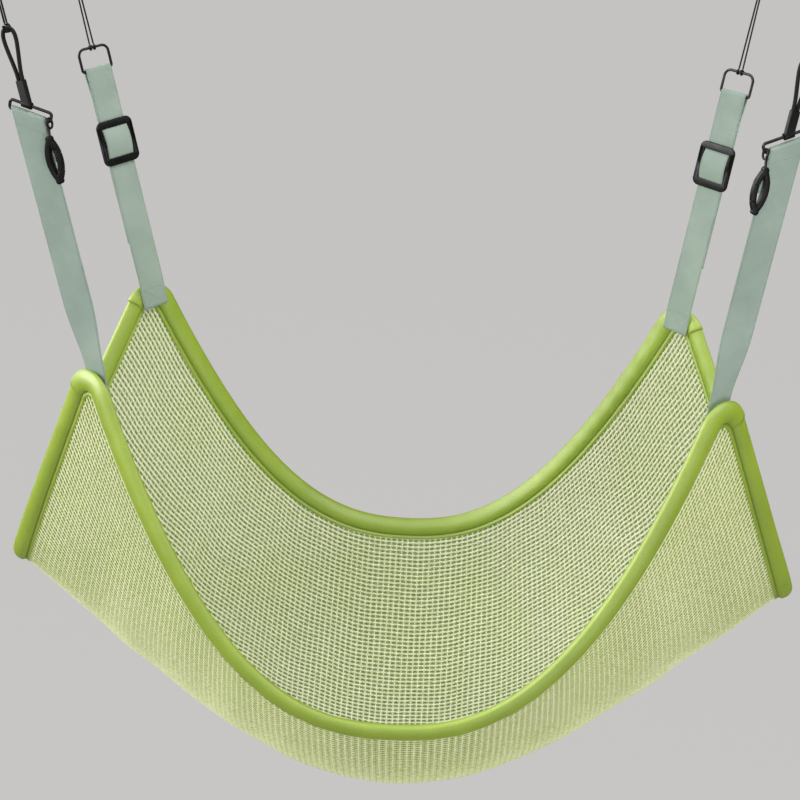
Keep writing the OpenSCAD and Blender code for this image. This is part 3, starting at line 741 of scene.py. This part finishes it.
def build_binding(name, edge, part, turned):
    """One edge's roll and its stitches, at a part of the full width, turned half round for the far edge."""
    p, up, ahead, inward, s = evenly(*edge, ROLL_STEP)
    turn = np.array([-1, -1, 1]) if turned else np.array([1, 1, 1])
    section = SECTION * part
    section[:, 1] = np.where(np.abs(SECTION[:, 1]) < LIP_TOP, SECTION[:, 1], section[:, 1])
    # Small swellings along the roll, none on its lip
    phase = rng.uniform(0, 6.28, 4)
    swell = 1 + SWELL_LONG * np.sin(s / 8.5 + phase[0]) * np.sin(s / 31 + phase[1])
    swell = swell + SWELL_SHORT * np.sin(s / 3.9 + phase[2])
    weight = np.clip((np.abs(section[:, 1]) - 1.6) / 2, 0, 1)
    room = np.clip((np.minimum(s, s[-1] - s) - TAIL_ROOM) / PLUMP_IN, 0, 1)
    plump = 1 + (PLUMP - 1) * np.where(section[None, :, 1] > 0, room[:, None], 1)
    high = section[None, :, 1] * (1 + (swell[:, None] * plump - 1) * weight[None])
    slip = SLIP * np.sin(s / 47 + phase[3])
    out = section[None, :, :1] + slip[:, None, None]
    rings = p[:, None] + inward[:, None] * out + up[:, None] * high[..., None]
    run = run_along(section)
    weave = np.stack(np.broadcast_arrays(s[:, None], run[None], FOLD[None]), -1).reshape(-1, 3)
    v, f = swept(rings * turn)
    piece = mesh_piece("padded_" + name, v, f, BINDING, "binding", weave)
    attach(piece, "bed")
    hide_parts(name)
    pick = np.arange(1, len(s) - 1, STITCH_EVERY)
    parts = []
    for face in (1, -1):
        at = p[pick] + inward[pick] * (STITCH_IN * part + slip[pick, None]) + up[pick] * face * STITCH_UP
        parts.append(stitches(at * turn, ahead[pick] * turn, up[pick] * face * turn, *BINDING_STITCH))
    piece = mesh_piece("seam_" + name, *joined(parts), LIME_THREAD, "binding")
    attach(piece, "bed")


build_binding("binding_front", long_edge(), 1, False)
build_binding("binding_rear", long_edge(), 1, True)
build_binding("binding_right", short_edge(), END_BIND, False)
build_binding("binding_left", short_edge(), END_BIND, True)


# Straps: each one a ribbon from its sewn tail, up over the ring's bar and down again
# Half of the bend's height at the seam, and a height under the seam
BEND, MOVES_FROM = 6, -5
# The height at which a skewed strap begins to lean into its fold, and over which it does so
LEAN_FROM, LEAN_OVER = 120, STRAP_LEN - 130
# Places across the ribbon, with its half thickness there
ACROSS_AT = np.array([-1, -0.965, -0.9, -0.6, -0.3, 0, 0.3, 0.6, 0.9, 0.965, 1]) * STRAP_W / 2
ACROSS_T = np.array([0.45, 0.9, 1, 1, 1, 1, 1, 1, 1, 0.9, 0.45]) * STRAP_T / 2
ROUND_X = np.concatenate([ACROSS_AT, ACROSS_AT[::-1]])


def ribbon_weave(along):
    """Cloth numbers of a ribbon's points, round its section."""
    return np.stack(np.broadcast_arrays(along, ROUND_X[None], 0 * along), -1).reshape(-1, 3)


def ribbon(path, face, along, lean=None):
    """A woven ribbon along points with the directions its face looks: x across, y in, z up."""
    h = np.concatenate([ACROSS_T, -ACROSS_T[::-1]])
    rings = path[:, None] + face[:, None] * h[None, :, None]
    rings[..., 0] += ROUND_X[None]
    rise = (0 * along if lean is None else lean)[:, None] * ROUND_X[None]
    rings[..., 2] += rise
    return rings, ribbon_weave(along[:, None] + rise)


def strap_line(fold, skew, length):
    """Middle line of a strap in y and z above its seam: up, round the bar and down its return."""
    rise = 1 / math.cos(math.radians(skew))
    up_z = np.linspace(BEND, STRAP_LEN - 1, 60)
    turn = np.radians(np.linspace(0, 180, 17))
    bar = np.stack([fold * BAR_Y * (1 - np.cos(turn)), STRAP_LEN + BAR_Y * rise * np.sin(turn)], -1)
    near = fold * (STRAP_T + GAP)
    part = np.linspace(0, 1, 12)[1:]
    ease = eased(part)
    close = np.stack([fold * 2 * BAR_Y * (1 - ease) + near * ease, STRAP_LEN - CLOSE_LEN * part], -1)
    count = max(3, int((length - CLOSE_LEN) / 4))
    rest_z = np.linspace(STRAP_LEN - CLOSE_LEN, STRAP_LEN - length, count)[1:]
    rest = np.stack([np.full(len(rest_z), near), rest_z], -1)
    return np.concatenate([np.stack([0 * up_z, up_z], -1), bar, close, rest]), len(up_z)


def build_strap(corner):
    """One strap with its tail, as a single length of webbing that bends at the seam."""
    _, end = CORNERS[corner]
    fold, skew, length = (1, RING_SKEW, HEM_LEN) if end < 0 else (-1, 0, RETURN_LEN)
    line, n_up = strap_line(fold, skew, length)
    path = np.concatenate([np.zeros((len(line), 1)), line], 1)
    t = unit(np.gradient(line, axis=0))
    face = np.stack([np.zeros(len(t)), t[:, 1], -t[:, 0]], -1)
    lean = np.full(len(line), math.tan(math.radians(skew)))
    lean[:n_up] *= np.clip((line[:n_up, 1] - LEAN_FROM) / LEAN_OVER, 0, 1)
    rings, weave = ribbon(path, face, run_along(line) + BEND, lean)
    upper = on_strap(rings, corner)
    # The tail lies in the net's plane, and a short bend joins it to the strap
    low = np.linspace(-STRAP_T / 2 - GAP - TAIL_LEN, -BEND, 8)
    tail_path = np.stack([0 * low, 0 * low, low], -1)
    tail, tail_weave = ribbon(tail_path, np.tile([0.0, 1.0, 0.0], (len(low), 1)), low)
    lower = on_tail(tail, corner)
    start, finish = lower[-1], upper[0]
    seam = on_tail(tail[-1] * [1, 1, 0], corner)
    q = np.linspace(0, 1, 9)[1:-1, None, None]
    bends = (1 - q) ** 2 * start + 2 * q * (1 - q) * seam + q * q * finish
    bend_weave = ribbon_weave(np.linspace(-BEND, BEND, 9)[1:-1, None])
    v, f = swept(np.concatenate([lower, bends, upper]))
    all_weave = np.concatenate([tail_weave, bend_weave, weave])
    piece = mesh_piece("strap_web_" + corner, v, f, WEBBING, "webbing", all_weave)
    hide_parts("strap_" + corner, "strap_tail_" + corner)
    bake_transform(piece)
    sew_tail(corner)
    if end < 0:
        sew_hem(corner)


def sew_tail(corner):
    """A box of stitches with a cross in it, through the tail."""
    half, low, high, pitch = STRAP_W / 2 - 3, -22.5, -4.5, 2.6
    a, b, c, d = np.array([(-half, low), (half, low), (-half, high), (half, high)])
    middle = on_tail([0, 0, 0], corner)
    parts = []
    for first, last in ((a, b), (c, d), (a, c), (b, d), (a, d), (c, b)):
        n = int(np.linalg.norm(last - first) / pitch)
        at = first + (last - first) * ((np.arange(n) + 0.5) / n)[:, None]
        spots = on_tail(np.stack([at[:, 0], np.full(n, STRAP_T / 2), at[:, 1]], -1), corner)
        x, z = unit(last - first)
        along = np.tile(on_tail([x, 0, z], corner) - middle, (n, 1))
        up = np.tile(on_tail([0, 1, 0], corner) - middle, (n, 1))
        parts.append(stitches(spots, along, up, *TAIL_STITCH))
    piece = mesh_piece("tail_seam_" + corner, *joined(parts), GREY_THREAD, "webbing")
    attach(piece, "bed")


def sew_hem(corner):
    """A row of stitches across a front strap under its fold, seen on both faces."""
    tilt = math.tan(math.radians(RING_SKEW))
    drop, n, margin = 10.7, 11, 2
    x = (np.arange(n) + 0.5) / n * (STRAP_W - 2 * margin) - STRAP_W / 2 + margin
    ease = eased(drop / CLOSE_LEN)
    back = 2 * BAR_Y * (1 - ease) + (STRAP_T + GAP) * ease
    top = np.array([0, 0, STRAP_LEN])
    row = unit(np.array([1, 0, tilt]))
    parts = []
    for y, out in ((-STRAP_T / 2, -1), (back + STRAP_T / 2, 1)):
        spots = on_strap(np.stack([x, np.full(n, y), STRAP_LEN - drop + x * tilt], -1), corner)
        along = np.tile(on_strap(top + row, corner) - on_strap(top, corner), (n, 1))
        up = np.tile(on_strap(top + [0, out, 0], corner) - on_strap(top, corner), (n, 1))
        parts.append(stitches(spots, along, up, *HEM_STITCH))
    piece = mesh_piece("hem_seam_" + corner, *joined(parts), GREY_THREAD, "webbing")
    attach(piece, "strap_" + corner)


# How far the crossing webbing stands over its bar, and how much it is shortened to clear its window
CROSSING_OVER, CROSSING_SHORT = 0.4, 0.985


def build_crossing(corner):
    """The webbing that shows in a slide adjuster, over its middle bar."""
    reach = SLIDER_H / 2 - SLIDER_BAR - GAP
    high = SLIDER_T + CROSSING_OVER
    r = (reach * reach + high * high) / (2 * high)
    a = np.linspace(-1, 1, 25) * math.asin(reach / r)
    mid = r + STRAP_T / 2
    base = STRAP_T / 2 + GAP + high - r
    z = STRAP_LEN - SLIDER_DROP + mid * np.sin(a) * CROSSING_SHORT
    path = np.stack([0 * a, base + mid * np.cos(a), z], -1)
    face = np.stack([0 * a, np.cos(a), np.sin(a)], -1)
    rings, weave = ribbon(path, face, mid * a)
    piece = mesh_piece("crossing_" + corner, *swept(on_strap(rings, corner)), WEBBING, "webbing", weave)
    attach(piece, "adjuster_" + corner)
    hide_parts("adjuster_web_" + corner)


for corner, (_, end) in CORNERS.items():
    build_strap(corner)
    if end > 0:
        build_crossing(corner)


# Moulded pieces keep their solids' shapes, with softened edges
def softened(node, body, width, material):
    """A solid's own shape with its edges rounded, in place of it."""
    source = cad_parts[node]
    piece = bpy.data.objects.new("moulded_" + node, source.data.copy())
    piece.matrix_world = source.matrix_world.copy()
    bpy.context.scene.collection.objects.link(piece)
    piece.data.materials.clear()
    piece.data.materials.append(material)
    weld = piece.modifiers.new("weld", "WELD")
    weld.merge_threshold = 0.00001
    edge = piece.modifiers.new("edge", "BEVEL")
    edge.width = width * MM
    edge.segments = 2
    edge.limit_method = "ANGLE"
    edge.angle_limit = math.radians(40)
    edge.use_clamp_overlap = True
    for polygon in piece.data.polygons:
        polygon.use_smooth = True
    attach(piece, body)
    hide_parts(node)


def repaint(node, material):
    """Gives a solid that stays in the scene its material."""
    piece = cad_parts[node]
    for i in range(max(1, len(piece.material_slots))):
        if i < len(piece.material_slots):
            piece.material_slots[i].material = material
        else:
            piece.data.materials.append(material)


for corner, (_, end) in CORNERS.items():
    repaint("ring_" + corner, STEEL)
    repaint("tie_crimp_" + corner, STEEL)
    if end > 0:
        softened("adjuster_" + corner, "adjuster_" + corner, 0.7, PLASTIC)
    else:
        softened("lanyard_sleeve_" + corner, "ring_" + corner, 0.5, PLASTIC)
        softened("clip_body_" + corner, "clip_" + corner, 0.4, PLASTIC)
        softened("clip_gate_" + corner, "gate_" + corner, 0.3, PLASTIC)
        repaint("clip_pin_" + corner, STEEL)


# Pale floor well below the hanging bed, soft lamps and an even world
FLOOR_Z, FLOOR_HALF = -0.6, 30
BACKDROP = linear(198, 197, 195)


def floor_material():
    """A matt floor that the camera sees nearly even, and that gloss sees dim."""
    mat, tree, shader = new_material("pale_floor", BACKDROP, 0.9)
    glow = add(tree, "ShaderNodeEmission")
    glow.inputs["Color"].default_value = (*linear(199, 198, 196), 1)
    path = add(tree, "ShaderNodeLightPath")
    seen = path.outputs["Is Camera Ray"]
    shader.inputs["Specular IOR Level"].default_value = 0
    dim = maths(tree, "SUBTRACT", 1.0, maths(tree, "MULTIPLY", path.outputs["Is Glossy Ray"], 0.7))
    tree.links.new(mix(tree, dim, (0.0, 0.0, 0.0), BACKDROP), shader.inputs["Base Color"])
    blend = add(tree, "ShaderNodeMixShader")
    tree.links.new(maths(tree, "MULTIPLY", seen, 0.94), blend.inputs["Fac"])
    tree.links.new(shader.outputs[0], blend.inputs[1])
    tree.links.new(glow.outputs[0], blend.inputs[2])
    tree.links.new(blend.outputs[0], tree.nodes["Material Output"].inputs["Surface"])
    return mat


def build_floor():
    mesh = bpy.data.meshes.new("floor")
    sides = ((-1, -1), (1, -1), (1, 1), (-1, 1))
    mesh.from_pydata([(x * FLOOR_HALF, y * FLOOR_HALF, FLOOR_Z) for x, y in sides], [], [(0, 1, 2, 3)])
    mesh.materials.append(floor_material())
    floor = bpy.data.objects.new("floor", mesh)
    bpy.context.scene.collection.objects.link(floor)


def build_world():
    """An even world, in which gloss sees a bright wall on the left of a dim room."""
    world = bpy.data.worlds.new("studio")
    world.use_nodes = True
    tree = world.node_tree
    back = tree.nodes["Background"]
    back.inputs["Color"].default_value = (*BACKDROP, 1)
    path = add(tree, "ShaderNodeLightPath")
    ray = add(tree, "ShaderNodeSeparateXYZ")
    tree.links.new(add(tree, "ShaderNodeTexCoord").outputs["Generated"], ray.inputs[0])
    left = maths(tree, "MULTIPLY", ray.outputs[0], -1)
    wall = ramp(tree, left, [(0.05, (0.04,) * 3), (0.7, (1.0,) * 3)])
    plain = maths(tree, "ADD", maths(tree, "MULTIPLY", path.outputs["Is Camera Ray"], 0.25), 0.75)
    gloss = maths(tree, "MULTIPLY", wall, 5.5)
    more = maths(tree, "MULTIPLY", maths(tree, "SUBTRACT", gloss, plain), path.outputs["Is Glossy Ray"])
    tree.links.new(maths(tree, "ADD", more, plain), back.inputs["Strength"])
    bpy.context.scene.world = world


# Where the lamps look, in metres
LAMPS_AIM = (0, 0, 0.3)


def lamp(name, at, size, watts):
    """A square lamp at a place, turned to the bed."""
    light = bpy.data.lights.new(name, "AREA")
    light.size = size
    light.energy = watts
    piece = bpy.data.objects.new(name, light)
    aim = unit(np.array(LAMPS_AIM) - np.array(at))
    right = unit(np.cross(aim, [0, 0, 1]))
    up = np.cross(right, aim)
    piece.matrix_world = Matrix([[right[i], up[i], -aim[i], at[i]] for i in range(3)] + [[0, 0, 0, 1]])
    bpy.context.scene.collection.objects.link(piece)


build_floor()
build_world()
lamp("key", at=(-2.7, -0.5, 1.6), size=1.2, watts=66)
lamp("top", at=(1.1, -0.4, 2.4), size=1.8, watts=42)
lamp("fill", at=(1.1, -2.1, 0.1), size=1.2, watts=17)
bpy.context.scene.view_settings.view_transform = "Standard"
